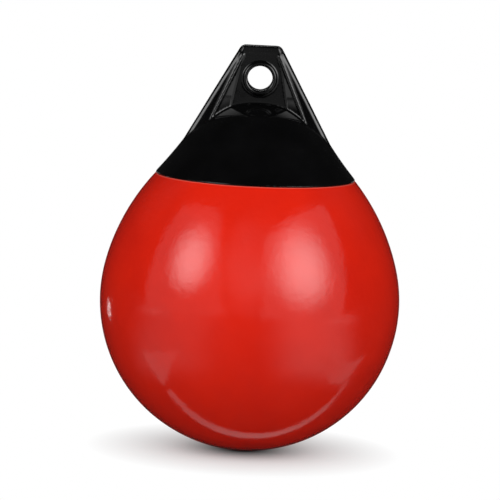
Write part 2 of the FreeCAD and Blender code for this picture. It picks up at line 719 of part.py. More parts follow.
def check(doc, bodies):
    """Nothing is written unless every object recomputed and every solid is sound."""
    for item in doc.Objects:
        bad = [state for state in item.State if state in ("Invalid", "Error")]
        if bad:
            raise RuntimeError(f"{item.Name} is {bad[0]}")
    for body in bodies:
        shape = body.Shape
        if shape.isNull() or not shape.isValid() or len(shape.Solids) != 1:
            raise RuntimeError(f"{body.Label} is not one sound solid")


def main():
    doc = FreeCAD.newDocument("anchor_buoy")
    make_sheet(doc)
    make_worked(doc)
    makers = [make_float_body, make_rope_head, make_valve_body, make_seal_ring, make_screw_plug]
    bodies = [maker(doc) for maker in makers]
    doc.recompute()
    check(doc, bodies)
    os.makedirs("parts", exist_ok=True)
    for body in bodies:
        body.Shape.exportStep(f"parts/{body.Label}.step")
        box = body.Shape.BoundBox
        print(f"{body.Label}: {body.Shape.Volume / 1000:.1f} cm3, z {box.ZMin:.2f} to {box.ZMax:.2f}")


main()
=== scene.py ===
import itertools
import math

import bmesh
import bpy
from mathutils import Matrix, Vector


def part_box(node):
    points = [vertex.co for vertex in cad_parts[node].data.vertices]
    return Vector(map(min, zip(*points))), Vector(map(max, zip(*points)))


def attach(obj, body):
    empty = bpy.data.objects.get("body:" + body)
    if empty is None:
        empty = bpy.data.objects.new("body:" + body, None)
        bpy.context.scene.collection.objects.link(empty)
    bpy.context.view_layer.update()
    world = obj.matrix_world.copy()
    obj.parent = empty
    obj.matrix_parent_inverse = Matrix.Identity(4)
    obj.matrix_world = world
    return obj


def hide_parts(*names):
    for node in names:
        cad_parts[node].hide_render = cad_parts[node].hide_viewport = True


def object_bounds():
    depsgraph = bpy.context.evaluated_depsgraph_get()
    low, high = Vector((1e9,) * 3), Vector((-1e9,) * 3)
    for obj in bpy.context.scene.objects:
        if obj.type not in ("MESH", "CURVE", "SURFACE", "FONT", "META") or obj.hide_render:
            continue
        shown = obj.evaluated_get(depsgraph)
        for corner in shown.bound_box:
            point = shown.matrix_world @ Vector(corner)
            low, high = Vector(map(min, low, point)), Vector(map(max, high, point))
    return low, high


bl_info = {
    "name": "Anchor Buoy",
    "version": (1, 0, 0),
    "blender": (4, 5, 0),
    "location": "View3D > Sidebar > Buoy",
    "description": "Inflatable anchor buoy with a moulded rope-eye head and a screw valve",
    "category": "Object",
}

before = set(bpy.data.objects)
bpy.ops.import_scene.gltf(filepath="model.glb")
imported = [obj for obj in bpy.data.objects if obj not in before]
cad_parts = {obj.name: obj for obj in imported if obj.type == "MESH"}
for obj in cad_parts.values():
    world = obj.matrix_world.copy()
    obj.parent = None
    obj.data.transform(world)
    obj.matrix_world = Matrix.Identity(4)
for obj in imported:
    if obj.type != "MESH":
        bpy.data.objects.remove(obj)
CAD_BOX = [list(corner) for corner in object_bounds()]
OBJECT_MIDDLE = sum((Vector(corner) for corner in CAD_BOX), Vector()) / 2
FLOOR_LEVEL = CAD_BOX[0][2]
TAB_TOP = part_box("rope_head")[1].z
BALL_RADIUS = 0.1143
BALL_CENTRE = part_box("float_body")[0].z + BALL_RADIUS


# ---------------------------------------------------------------- settings

def length(name, description, default):
    return bpy.props.FloatProperty(name=name, description=description, default=default,
                                   precision=5, unit="LENGTH")


def angle(name, description, degrees):
    return bpy.props.FloatProperty(name=name, description=description,
                                   default=math.radians(degrees), subtype="ANGLE")


def share(name, description, default):
    return bpy.props.FloatProperty(name=name, description=description, default=default,
                                   min=0.0, max=1.0, subtype="FACTOR")


def strength(name, description, default):
    return bpy.props.FloatProperty(name=name, description=description, default=default, min=0.0)


def count(name, description, default):
    return bpy.props.IntProperty(name=name, description=description, default=default, min=1)


def colour(name, description, default):
    return bpy.props.FloatVectorProperty(name=name, description=description, default=default,
                                         size=3, min=0.0, max=1.0, subtype="COLOR")


class BallSettings(bpy.types.PropertyGroup):
    radius: length("Radius", "Inflated ball at its equator", BALL_RADIUS)
    shoulder_start: angle("Shoulder start", "Latitude where the ball turns into its shoulder", 12.8)
    shoulder_radius: length("Shoulder radius", "Radius of the flatter shoulder", 0.163)
    seam: angle("Seam", "Slope of the shoulder where the head begins", 41.0)
    wall: length("Wall", "Vinyl wall of the ball", 0.0025)
    neck_step: length("Neck step", "Depth of the rebate under the head's skirt", 0.002)
    neck_length: length("Neck length", "Neck inside the head's skirt", 0.012)
    neck_root: angle("Neck root", "How far below the seam the inside leaves the neck", 4.0)
    lip_round: length("Lip", "Rounding of the edge beside the seam", 0.0006)
    steps: count("Steps", "Sections around the ball", 144)
    line_width: length("Mould line width", "Ridge left where the two mould halves met", 0.0014)
    line_rise: length("Mould line rise", "Height of that ridge", 0.00018)
    waviness: length("Waviness", "How far the blown skin swells and sinks", 0.0005)
    wave_length: length("Wave length", "Size of those swells", 0.07)


class HeadSettings(bpy.types.PropertyGroup):
    grain: length("Grain", "Facet size that the moulding is rebuilt with", 0.0008)
    softening: count("Softening", "Passes that soften the moulding's edges", 3)
    flare_out: length("Neck curve, out", "Centre of the neck's hollow curve, from the axis", 0.302394)
    flare_up: length("Neck curve, up", "Centre of that curve, above the waterline", 0.36066)
    flare_radius: length("Neck curve, radius", "Radius of that curve", 0.3)
    dome_up: length("Dome, up", "Centre of the dome, above the waterline", 0.15283)
    dome_radius: length("Dome, radius", "Outside of the dome", 0.066926)
    dome_edge: length("Dome edge", "Where the neck meets the dome, above the waterline", 0.19074)
    hidden_depth: length("Hidden depth", "Below this the skin is inside and may be coarse", 0.0012)
    kept: share("Kept", "Share of the facets kept when the hidden side is thinned", 0.66)
    rim_out: length("Skirt edge, out", "Lower outer edge of the skirt, from the axis", 0.07572)
    rim_up: length("Skirt edge, up", "That edge, above the waterline", 0.16391)
    rim_reach: share("Skirt edge, reach", "How near it the skin is drawn to it, in facets", 0.65)
    rail_size: length("Rail size", "Radius of the rounded rails on the tab", 0.0015)
    rail_sink: length("Rail sink", "Middle of a rail, behind the skin that it stands on", 0.0006)
    waviness: length("Waviness", "Unevenness of the moulded skin", 0.00025)
    wave_length: length("Wave length", "Size of that unevenness", 0.03)


class FinishSettings(bpy.types.PropertyGroup):
    red: colour("Red vinyl", "Colour of the ball", (0.67, 0.0150, 0.0045))
    deep_red: colour("Deep red", "Colour where the skin is thicker", (0.61, 0.0130, 0.0045))
    # These two settings give a painted highlight: a thin paler band just under the seam, where its
    # lip catches the light, and the height where that band begins.
    weld: colour("Weld edge", "Colour of the thin paler edge beside the head", (0.75, 0.085, 0.060))
    seam_highlight_foot: length("Weld foot", "Where that edge begins, above the waterline", 0.1624)
    red_gloss: share("Ball roughness", "Roughness of the ball's skin", 0.13)
    black: colour("Black vinyl", "Colour of the head", (0.0016, 0.0016, 0.0017))
    black_gloss: share("Head roughness", "Roughness of the head's skin", 0.07)
    nylon: colour("Nylon", "Colour of the valve insert and its plug", (0.018, 0.018, 0.019))
    rubber: colour("Rubber", "Colour of the sealing ring", (0.012, 0.012, 0.012))


class StageSettings(bpy.types.PropertyGroup):
    distance: length("Camera distance", "From the object's middle", 3.0)
    height: angle("Camera height", "How far the camera looks down", 7.0)
    roll: angle("Camera roll", "Lean of the picture", -2.7)
    lens: bpy.props.FloatProperty(name="Lens", description="Focal length", default=283.0,
                                  unit="CAMERA")
    aim_right: length("Aim, right", "Camera's aim beside the object's middle", -0.0015)
    aim_up: length("Aim, up", "Camera's aim above the object's middle", -0.0015)
    floor: colour("Floor", "Colour of the floor", (0.62, 0.62, 0.62))
    fade_start: length("Fade start", "Where the floor begins to fade to white, from the axis", 0.01)
    fade_end: length("Fade end", "Where the floor is all white, from the axis", 0.12)
    ambient: strength("Ambient", "Light from all round", 0.10)
    dimness: strength("Dark walls", "Glow of the dark studio walls", 0.012)
    window_foot: length("Window foot", "Lower edge of the window behind the object", 0.75)
    window_top: length("Window top", "Upper edge of that window", 1.35)
    window_half_width: angle("Window half width", "Half its width, seen from the object", 9.0)
    bright: strength("Bounce cards", "Glow of the white floor cards", 1.0)


# ---------------------------------------------------------------- modelling helpers

def deselect():
    """Back to object mode, with nothing selected."""
    if bpy.context.object and bpy.context.object.mode != "OBJECT":
        bpy.ops.object.mode_set(mode="OBJECT")
    bpy.ops.object.select_all(action="DESELECT")


def take(piece):
    """Make the piece the only selected object and the active one."""
    deselect()
    piece.select_set(True)
    bpy.context.view_layer.objects.active = piece


def edit(piece):
    """Edit the piece by its vertices, with none of them selected."""
    take(piece)
    bpy.ops.object.mode_set(mode="EDIT")
    bpy.ops.mesh.select_mode(type="VERT")
    bpy.ops.mesh.select_all(action="DESELECT")


def pick(piece, kind, test):
    """Select, in edit mode, the vertices, edges or faces that pass the test."""
    bpy.ops.mesh.select_mode(type=kind)
    bpy.ops.mesh.select_all(action="DESELECT")
    mesh = bmesh.from_edit_mesh(piece.data)
    parts = {"VERT": mesh.verts, "EDGE": mesh.edges, "FACE": mesh.faces}[kind]
    for part in parts:
        part.select_set(test(part))
    mesh.select_flush_mode()
    bmesh.update_edit_mesh(piece.data)


def group(piece, name, test):
    """A vertex group of the vertices whose place passes the test."""
    chosen = [vertex.index for vertex in piece.data.vertices if test(vertex.co)]
    piece.vertex_groups.new(name=name).add(chosen, 1.0, "REPLACE")


def apply(piece, kind, **values):
    """Add a modifier with these values and apply it."""
    take(piece)
    modifier = piece.modifiers.new(kind.title(), kind)
    for name, value in values.items():
        setattr(modifier, name, value)
    bpy.ops.object.modifier_apply(modifier=modifier.name)


def clouds(name, size):
    """A soft cloudy pattern, to swell a skin with."""
    pattern = bpy.data.textures.new(name, "CLOUDS")
    pattern.noise_scale = size
    pattern.noise_depth = 1
    return pattern


def arc(centre_x, centre_z, radius, start, end, pieces):
    """Points from start to end, both included."""
    points = []
    for index in range(pieces + 1):
        turn = start + (end - start) * index / pieces
        points.append((centre_x + radius * math.cos(turn), centre_z + radius * math.sin(turn)))
    return points


def spun(name, section, steps):
    """A closed piece turned about the vertical axis: the section's points are extruded one
    after another from a single vertex, and the line is spun right round."""
    deselect()
    first = section[0]
    bpy.ops.mesh.primitive_plane_add(size=0.01, location=(first[0], 0, first[1]))
    piece = bpy.context.object
    piece.name = piece.data.name = name
    bpy.ops.object.transform_apply(location=True, rotation=True, scale=True)
    edit(piece)
    bpy.ops.mesh.select_all(action="SELECT")
    bpy.ops.mesh.merge(type="CENTER")
    for before, after in zip(section, section[1:]):
        way = (after[0] - before[0], 0, after[1] - before[1])
        bpy.ops.mesh.extrude_region_move(TRANSFORM_OT_translate={"value": way})
    bpy.ops.mesh.select_all(action="SELECT")
    bpy.ops.mesh.spin(steps=steps, angle=2 * math.pi, center=(0, 0, 0), axis=(0, 0, 1))
    bpy.ops.mesh.select_all(action="SELECT")
    bpy.ops.mesh.remove_doubles(threshold=0.00001)
    bpy.ops.mesh.normals_make_consistent(inside=False)
    bpy.ops.object.mode_set(mode="OBJECT")
    return piece


def copied(node, name):
    """A merged copy of a CAD node, as a piece of its own."""
    deselect()
    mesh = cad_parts[node].data.copy()
    mesh.name = name
    mesh.materials.clear()
    piece = bpy.data.objects.new(name, mesh)
    bpy.context.collection.objects.link(piece)
    edit(piece)
    bpy.ops.mesh.select_all(action="SELECT")
    bpy.ops.mesh.remove_doubles(threshold=0.000002)
    bpy.ops.object.mode_set(mode="OBJECT")
    bpy.ops.mesh.customdata_custom_splitnormals_clear()
    return piece


# ---------------------------------------------------------------- shader helpers

def feed(tree, value, socket):
    """Give a socket its value: another node's output, or a plain number or colour."""
    if isinstance(value, bpy.types.NodeSocket):
        tree.links.new(value, socket)
    else:
        socket.default_value = value


def shader_math(tree, operation, *values):
    """One sum, product or other step of arithmetic on these values."""
    made = tree.nodes.new("ShaderNodeMath")
    made.operation = operation
    for socket, value in zip(made.inputs, values):
        feed(tree, value, socket)
    return made.outputs[0]


def map_range(tree, value, low, high, out_low=0.0, out_high=1.0, kind="LINEAR"):
    """Map low..high of a value to out_low..out_high; SMOOTHERSTEP eases both ends."""
    made = tree.nodes.new("ShaderNodeMapRange")
    made.interpolation_type = kind
    for socket, number in zip(made.inputs, (value, low, high, out_low, out_high)):
        feed(tree, number, socket)
    return made.outputs["Result"]


def from_middle(tree, place):
    """How far a place is from the object's own origin."""
    made = tree.nodes.new("ShaderNodeVectorMath")
    made.operation = "LENGTH"
    tree.links.new(place, made.inputs[0])
    return made.outputs["Value"]


def along_axis(tree, place, axis):
    """One coordinate of a place: X, Y or Z."""
    made = tree.nodes.new("ShaderNodeSeparateXYZ")
    tree.links.new(place, made.inputs[0])
    return made.outputs[axis]


def seen_directly(tree):
    """1 for camera, mirror and see-through rays, 0 for the light that falls on things."""
    rays = tree.nodes.new("ShaderNodeLightPath").outputs
    mirrored = shader_math(tree, "MAXIMUM", rays["Is Camera Ray"], rays["Is Glossy Ray"])
    return shader_math(tree, "MAXIMUM", mirrored, rays["Is Transmission Ray"])


# ---------------------------------------------------------------- finishes

def paint(base, lighter=1.0):
    """A setting's colour as a shader takes it, made lighter by a factor."""
    return (*(lighter * part for part in base), 1.0)


class Finish:
    """A material built node by node around one Principled shader."""

    def __init__(self, name):
        self.material = bpy.data.materials.new(name)
        self.material.use_nodes = True
        self.tree = self.material.node_tree
        self.shader = self.tree.nodes["Principled BSDF"]
        self.place = self.tree.nodes.new("ShaderNodeTexCoord").outputs["Object"]

    def fill(self, node, inputs):
        """Set a node's inputs by their names, with an underscore for each space."""
        for name, value in inputs.items():
            feed(self.tree, value, node.inputs[name.replace("_", " ")])

    def node(self, kind, **inputs):
        made = self.tree.nodes.new("ShaderNode" + kind)
        self.fill(made, inputs)
        return made

    def noise(self, scale, detail=2.0, rough=0.5):
        """A cloudy pattern; a larger scale makes it finer."""
        return self.node("TexNoise", Vector=self.place, Scale=scale, Detail=detail,
                         Roughness=rough).outputs["Fac"]

    def spread(self, value, low, high, out_low=0.0, out_high=1.0):
        """Map low..high of a pattern to out_low..out_high."""
        return map_range(self.tree, value, low, high, out_low, out_high)

    def blend(self, amount, first, second):
        """Mix two colours. A Mix node's inputs 6 and 7 and its output 2 are the coloured ones."""
        made = self.node("Mix", Factor=amount)
        made.data_type = "RGBA"
        feed(self.tree, first, made.inputs[6])
        feed(self.tree, second, made.inputs[7])
        return made.outputs[2]

    def bump(self, height, depth, before=None):
        """Raise a pattern by a depth in metres, on top of the bump before it."""
        made = self.node("Bump", Height=height, Strength=1.0, Distance=depth)
        if before:
            self.tree.links.new(before, made.inputs["Normal"])
        return made.outputs["Normal"]

    def set(self, **inputs):
        """Set the shader's inputs and hand over the finished material."""
        self.fill(self.shader, inputs)
        return self.material


def red_vinyl(finish):
    """Blown glossy vinyl: cloudy colour, a slightly uneven gloss, a fine orange peel, and a thin
    paler band just under the seam, which is a painted highlight."""
    made = Finish("red_vinyl")
    patches = made.spread(made.noise(scale=22.0, detail=3.0), 0.35, 0.7)
    skin = made.blend(patches, paint(finish.red), paint(finish.deep_red))
    rough = made.spread(made.noise(scale=60.0, detail=3.0), 0.3, 0.7,
                        finish.red_gloss - 0.02, finish.red_gloss + 0.03)
    swell = made.bump(made.noise(scale=190.0), depth=0.00014)
    peel = made.bump(made.noise(scale=420.0), depth=0.00003, before=swell)
    height = along_axis(made.tree, made.place, "Z")
    # Painted highlight: a thin paler band just under the seam, blended over the red skin.
    weld = made.spread(height, finish.seam_highlight_foot, finish.seam_highlight_foot + 0.0004)
    skin = made.blend(weld, skin, paint(finish.weld))
    return made.set(Base_Color=skin, Roughness=rough, Normal=peel, IOR=1.5)


def black_vinyl(finish):
    """Moulded glossy black vinyl: slightly cloudy, with a fine haze and a faint orange peel."""
    made = Finish("black_vinyl")
    haze = made.spread(made.noise(scale=60.0, detail=4.0, rough=0.6), 0.35, 0.75,
                       finish.black_gloss - 0.02, finish.black_gloss + 0.05)
    tone = made.spread(made.noise(scale=30.0, detail=3.0), 0.4, 0.7)
    skin = made.blend(tone, paint(finish.black), paint(finish.black, lighter=1.8))
    swell = made.bump(made.noise(scale=180.0, detail=1.0), depth=0.00003)
    peel = made.bump(made.noise(scale=800.0), depth=0.000006, before=swell)
    return made.set(Base_Color=skin, Roughness=haze, Normal=peel, IOR=1.5)


def moulded_nylon(name, base, grain, lighter=1.0):
    """Satin injection-moulded nylon with a fine spark texture."""
    made = Finish(name)
    tone = made.spread(made.noise(scale=300.0, detail=3.0), 0.3, 0.7)
    skin = made.blend(tone, paint(base, lighter), paint(base, 1.6 * lighter))
    rough = made.spread(made.noise(scale=700.0), 0.3, 0.7, 0.38, 0.5)
    spark = made.bump(made.noise(scale=grain, detail=3.0), depth=0.00004)
    return made.set(Base_Color=skin, Roughness=rough, Normal=spark, IOR=1.53)


def seal_rubber(finish):
    """Plain black rubber with a patchy grey bloom, duller where it has bloomed."""
    made = Finish("seal_rubber")
    bloom = made.spread(made.noise(scale=900.0, detail=3.0), 0.4, 0.8)
    skin = made.blend(bloom, paint(finish.rubber), paint(finish.rubber, lighter=2.5))
    rough = made.spread(bloom, 0.0, 1.0, 0.6, 0.8)
    pores = made.bump(made.noise(scale=1500.0), depth=0.00002)
    return made.set(Base_Color=skin, Roughness=rough, Normal=pores, IOR=1.5)


def coat(piece, material):
    """Give the whole piece this one material."""
    piece.data.materials.clear()
    piece.data.materials.append(material)


# ---------------------------------------------------------------- pieces

class BUOY_OT_ball(bpy.types.Operator):
    """Blow the ball: a spun shell with its neck, mould line and slight swells"""
    bl_idname = "buoy.ball"
    bl_label = "Float ball"

    def shoulder(self, ball):
        """Centre of the shoulder's curve: out from the axis, and above the ball's centre."""
        shift = ball.radius - ball.shoulder_radius
        return shift * math.cos(ball.shoulder_start), shift * math.sin(ball.shoulder_start)

    def section(self, ball):
        """Outer skin from the lowest point up to the seam, the neck, and back down inside."""
        start, seam, lip = ball.shoulder_start, ball.seam, ball.lip_round
        shoulder_x, shoulder_z = self.shoulder(ball)
        shoulder_z += BALL_CENTRE
        out = Vector((math.cos(seam), math.sin(seam)))
        up = Vector((-out.y, out.x))
        seam_at = Vector((shoulder_x, shoulder_z)) + out * ball.shoulder_radius
        line = arc(0, BALL_CENTRE, ball.radius, -math.pi / 2, start, pieces=42)
        line += arc(shoulder_x, shoulder_z, ball.shoulder_radius, start,
                    seam - lip / ball.shoulder_radius, pieces=16)[1:]
        inside = ball.neck_step + ball.wall
        for inward, along in ((0.3 * lip, -0.3 * lip), (lip, 0.0), (ball.neck_step, 0.0),
                              (ball.neck_step, ball.neck_length), (inside, ball.neck_length),
                              (inside, -ball.wall)):
            line.append(tuple(seam_at - out * inward + up * along))
        line += arc(shoulder_x, shoulder_z, ball.shoulder_radius - ball.wall,
                    seam - ball.neck_root, start, pieces=8)
        line += arc(0, BALL_CENTRE, ball.radius - ball.wall, start, -math.pi / 2, pieces=20)[1:]
        line[0] = (0.0, line[0][1])
        line[-1] = (0.0, line[-1][1])
        return line

    def is_skin(self, point, ball):
        """True on the outer skin below the seam."""
        out = math.hypot(point.x, point.y)
        up = point.z - BALL_CENTRE
        if up < ball.radius * math.sin(ball.shoulder_start):
            return math.hypot(out, up) > ball.radius - ball.wall / 2
        shoulder_x, shoulder_z = self.shoulder(ball)
        reach = math.hypot(out - shoulder_x, up - shoulder_z)
        return reach > ball.shoulder_radius - ball.lip_round / 4

    def add_mould_line(self, piece, ball):
        """The edges where the mould halves met are bevelled and their middle is raised."""
        def on_line(vertex):
            return abs(vertex.co.y) < 1e-5 and self.is_skin(vertex.co, ball)
        edit(piece)
        pick(piece, "EDGE", lambda edge: all(on_line(vertex) for vertex in edge.verts))
        bpy.ops.mesh.bevel(offset=ball.line_width / 2, segments=2, affect="EDGES")
        pick(piece, "VERT", on_line)
        bpy.ops.transform.shrink_fatten(value=ball.line_rise)
        bpy.ops.object.mode_set(mode="OBJECT")

    def execute(self, context):
        ball = context.scene.buoy_ball
        piece = spun("float_skin", self.section(ball), ball.steps)
        self.add_mould_line(piece, ball)
        group(piece, "skin", lambda point: self.is_skin(point, ball))
        apply(piece, "SUBSURF", levels=1, render_levels=1)
        apply(piece, "DISPLACE", texture=clouds("skin_swells", ball.wave_length),
              strength=ball.waviness, mid_level=0.5, vertex_group="skin")
        bpy.ops.object.shade_smooth_by_angle(angle=math.radians(40))
        coat(piece, red_vinyl(context.scene.buoy_finish))
        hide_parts("float_body")
        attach(piece, "buoy")
        return {"FINISHED"}


# The rails on the tab: one along its outer edge, and one along the pocket's mouth. Each has an
# upper and a lower end, in metres out from the axis, in front of the tab's middle and down from
# its top, and a thickness, as a share of the rail size that is set.
RAILS = (
    {"top": (0.0155, 0.0070, 0.0050), "foot": (0.0577, 0.0120, 0.0800), "thickness": 1.0},
    {"top": (0.0134, 0.0080, 0.0062), "foot": (0.0366, 0.0176, 0.0575), "thickness": 0.85},
)


class BUOY_OT_head(bpy.types.Operator):
    """Mould the head: the CAD shape with its rails, rebuilt as one soft-edged skin"""
    bl_idname = "buoy.head"
    bl_label = "Rope-eye head"

    def bar_between(self, top, foot, radius):
        """A round bar between two points, with a shallow round recess in each end."""
        along = foot - top
        deselect()
        bpy.ops.mesh.primitive_cylinder_add(vertices=32, radius=radius, depth=along.length,
                                            location=(top + foot) / 2,
                                            rotation=along.to_track_quat("Z", "Y").to_euler())
        bar = bpy.context.object
        bpy.ops.object.transform_apply(location=True, rotation=True, scale=True)
        edit(bar)
        pick(bar, "FACE", lambda face: len(face.verts) > 4)
        bpy.ops.mesh.inset(thickness=0.35 * radius)
        bpy.ops.mesh.extrude_region_shrink_fatten(
            TRANSFORM_OT_shrink_fatten={"value": -0.4 * radius})
        bpy.ops.object.mode_set(mode="OBJECT")
        return bar

    def add_rails(self, piece, head):
        """Each rail is laid on both edges of both faces of the tab, and joined to it."""
        for rail, side, face in itertools.product(RAILS, (-1, 1), (-1, 1)):
            top, foot = (Vector((side * out, face * (front - head.rail_sink), TAB_TOP - down))
                         for out, front, down in (rail["top"], rail["foot"]))
            bar = self.bar_between(top, foot, rail["thickness"] * head.rail_size)
            apply(piece, "BOOLEAN", operation="UNION", object=bar, solver="EXACT")
            bpy.data.objects.remove(bar)

    def soften(self, piece, head):
        """Rebuild the skin in even facets that lie on the old one, and soften its edges."""
        form = bpy.data.objects.new("head_form", piece.data.copy())
        bpy.context.collection.objects.link(form)
        apply(piece, "REMESH", mode="VOXEL", voxel_size=head.grain)
        apply(piece, "SHRINKWRAP", target=form, wrap_method="NEAREST_SURFACEPOINT")
        apply(piece, "SMOOTH", factor=0.5, iterations=head.softening)
        bpy.data.objects.remove(form)

    def true_rim(self, piece, head):
        """Draw the skin's lower outer edge to a true circle."""
        def near_rim(point):
            out = math.hypot(point.x, point.y) - head.rim_out
            return math.hypot(out, point.z - head.rim_up) < head.grain * head.rim_reach
        deselect()
        bpy.ops.mesh.primitive_circle_add(vertices=1440, radius=head.rim_out,
                                          location=(0, 0, head.rim_up))
        rim = bpy.context.object
        bpy.ops.object.transform_apply(location=True, rotation=True, scale=True)
        group(piece, "rim", near_rim)
        apply(piece, "SHRINKWRAP", target=rim, wrap_method="NEAREST_VERTEX", vertex_group="rim")
        bpy.data.objects.remove(rim)

    def thin_inside(self, piece, head):
        """Make the inside of the neck and dome coarser, because it never shows."""
        def is_hidden(point):
            out = math.hypot(point.x, point.y)
            reach = math.hypot(out - head.flare_out, point.z - head.flare_up)
            if reach < head.flare_radius + head.hidden_depth:
                return False
            from_dome = math.hypot(out, point.z - head.dome_up)
            return point.z < head.dome_edge or from_dome < head.dome_radius - head.hidden_depth
        group(piece, "hidden", is_hidden)
        apply(piece, "DECIMATE", ratio=head.kept, vertex_group="hidden", vertex_group_factor=10.0)

    def execute(self, context):
        head = context.scene.buoy_head
        piece = copied("rope_head", "head_moulding")
        self.add_rails(piece, head)
        self.soften(piece, head)
        self.true_rim(piece, head)
        self.thin_inside(piece, head)
        apply(piece, "DISPLACE", texture=clouds("head_swells", head.wave_length),
              strength=head.waviness, mid_level=0.5)
        bpy.ops.object.shade_smooth()
        coat(piece, black_vinyl(context.scene.buoy_finish))
        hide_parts("rope_head")
        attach(piece, "buoy")
        return {"FINISHED"}


class BUOY_OT_valve(bpy.types.Operator):
    """Finish the valve: insert, sealing ring and screw plug"""
    bl_idname = "buoy.valve"
    bl_label = "Air valve"

    def execute(self, context):
        finish = context.scene.buoy_finish
        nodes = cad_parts
        coat(nodes["valve_body"], moulded_nylon("valve_plastic", finish.nylon, grain=1100.0))
        coat(nodes["screw_plug"], moulded_nylon("plug_plastic", finish.nylon, grain=1600.0,
                                                lighter=1.4))
        coat(nodes["seal_ring"], seal_rubber(finish))
        return {"FINISHED"}


# ---------------------------------------------------------------- stage helpers

LAMP_DISTANCE = 2.5
BOX_DISTANCE = 1.2
WALL_RADIUS = 4.0
WALL_HEIGHT = 5.0
WALL_LIFT = 0.01
FLOOR_RADIUS = 40.0
FLOOR_DROP = 0.0005
# A fan of light on the floor comes up between these distances from the axis, and fades out to its
# sides between these shares of the distance.
FAN_START = (0.12, 0.22)
FAN_SIDES = (0.14, 0.74)


def facing(azimuth, height):
    """Direction from the object; azimuth 0 is its front, positive to its right."""
    turn, rise = math.radians(azimuth), math.radians(height)
    return Vector((math.sin(turn) * math.cos(rise), -math.cos(turn) * math.cos(rise),
                   math.sin(rise)))


def only_in_reflections(item):
    """Hide a light card from all but mirror rays."""
    for use in ("camera", "diffuse", "transmission", "volume_scatter", "shadow"):
        setattr(item, "visible_" + use, False)


def round_fall(middle, edge, reach):
    """Strength of a light that is brightest in its middle and eases off to its reach."""
    def fall(tree, place):
        return map_range(tree, from_middle(tree, place), 0.0, reach, middle, edge, "SMOOTHERSTEP")
    return fall


def fan_fall(bright):
    """Strength of a light that starts at some distance, and eases off to both its sides."""
    def fall(tree, place):
        away = from_middle(tree, place)
        across = shader_math(tree, "ABSOLUTE", along_axis(tree, place, "X"))
        aside = shader_math(tree, "DIVIDE", across, away)
        near = map_range(tree, away, *FAN_START, 0.0, 1.0, "SMOOTHERSTEP")
        sides = map_range(tree, aside, *FAN_SIDES, bright, 0.0, "SMOOTHERSTEP")
        return shader_math(tree, "MULTIPLY", near, sides)
    return fall


def glow(name, bright, clear=False):
    """Material of a light card. Its brightness is a number, or a function of the place on the
    card. A clear one adds its light to what lies behind it."""
    material = bpy.data.materials.new(name)
    material.use_nodes = True
    tree = material.node_tree
    tree.nodes.clear()
    light = tree.nodes.new("ShaderNodeEmission")
    if callable(bright):
        bright = bright(tree, tree.nodes.new("ShaderNodeTexCoord").outputs["Object"])
    feed(tree, bright, light.inputs["Strength"])
    surface = light.outputs["Emission"]
    if clear:
        total = tree.nodes.new("ShaderNodeAddShader")
        tree.links.new(surface, total.inputs[0])
        tree.links.new(tree.nodes.new("ShaderNodeBsdfTransparent").outputs["BSDF"], total.inputs[1])
        surface = total.outputs["Shader"]
    out = tree.nodes.new("ShaderNodeOutputMaterial")
    tree.links.new(surface, out.inputs["Surface"])
    return material


def rectangle(left, bottom, right, top):
    """The corners of a card with straight sides."""
    return [(left, bottom), (right, bottom), (right, top), (left, top)]


def card(name, corners, bright, clear=False):
    """A flat card with these corners in its own plane, seen only in reflections."""
    deselect()
    bpy.ops.mesh.primitive_circle_add(vertices=len(corners), radius=1.0, fill_type="NGON")
    made = bpy.context.object
    made.name = name
    for vertex, (across, up) in zip(made.data.vertices, corners):
        vertex.co = (across, up, 0.0)
    coat(made, glow(name, bright, clear))
    only_in_reflections(made)
    return made


def soft_box(name, azimuth, height, distance, corners, middle, edge, reach):
    """A soft box's face, turned to the object; its corners and reach are shares of its
    distance."""
    way = facing(azimuth, height)
    box = card(name, [(across * distance, up * distance) for across, up in corners],
               round_fall(middle, edge, reach * distance))
    box.location = OBJECT_MIDDLE + way * distance
    box.rotation_euler = (-way).to_track_quat("-Z", "Y").to_euler()


def floor_card(name, corners, bright, lift):
    """A card lying just above the floor; its corners are x and y in metres."""
    card(name, corners, bright).location.z = FLOOR_LEVEL + lift


def floor_fan(name, azimuth, bright, lift):
    """Soft light on the floor that widens away from the object."""
    fan = card(name, [(0.0, 0.08), (1.5, 0.9), (1.5, 1.6), (-1.5, 1.6), (-1.5, 0.9)],
               fan_fall(bright), clear=True)
    way = facing(azimuth, 0)
    fan.location.z = FLOOR_LEVEL + lift
    fan.rotation_euler.z = math.atan2(-way.x, way.y)


def floor_pool(name, azimuth, distance, reach, middle, lift):
    """A round pool of soft light on the floor."""
    pool = card(name, arc(0, 0, reach, 0, math.tau, pieces=48)[:-1],
                round_fall(middle, 0.0, reach), clear=True)
    way = facing(azimuth, 0)
    pool.location = (way.x * distance, way.y * distance, FLOOR_LEVEL + lift)


def lamp(name, azimuth, height, size, power):
    """A broad lamp for plain light, which doesn't show in reflections."""
    way = facing(azimuth, height)
    data = bpy.data.lights.new(name, "AREA")
    data.shape = "DISK"
    data.size = size
    data.energy = power
    made = bpy.data.objects.new(name, data)
    bpy.context.collection.objects.link(made)
    made.location = OBJECT_MIDDLE + way * LAMP_DISTANCE
    made.rotation_euler = way.to_track_quat("Z", "Y").to_euler()
    made.visible_camera = False
    made.visible_glossy = False


# ---------------------------------------------------------------- stage

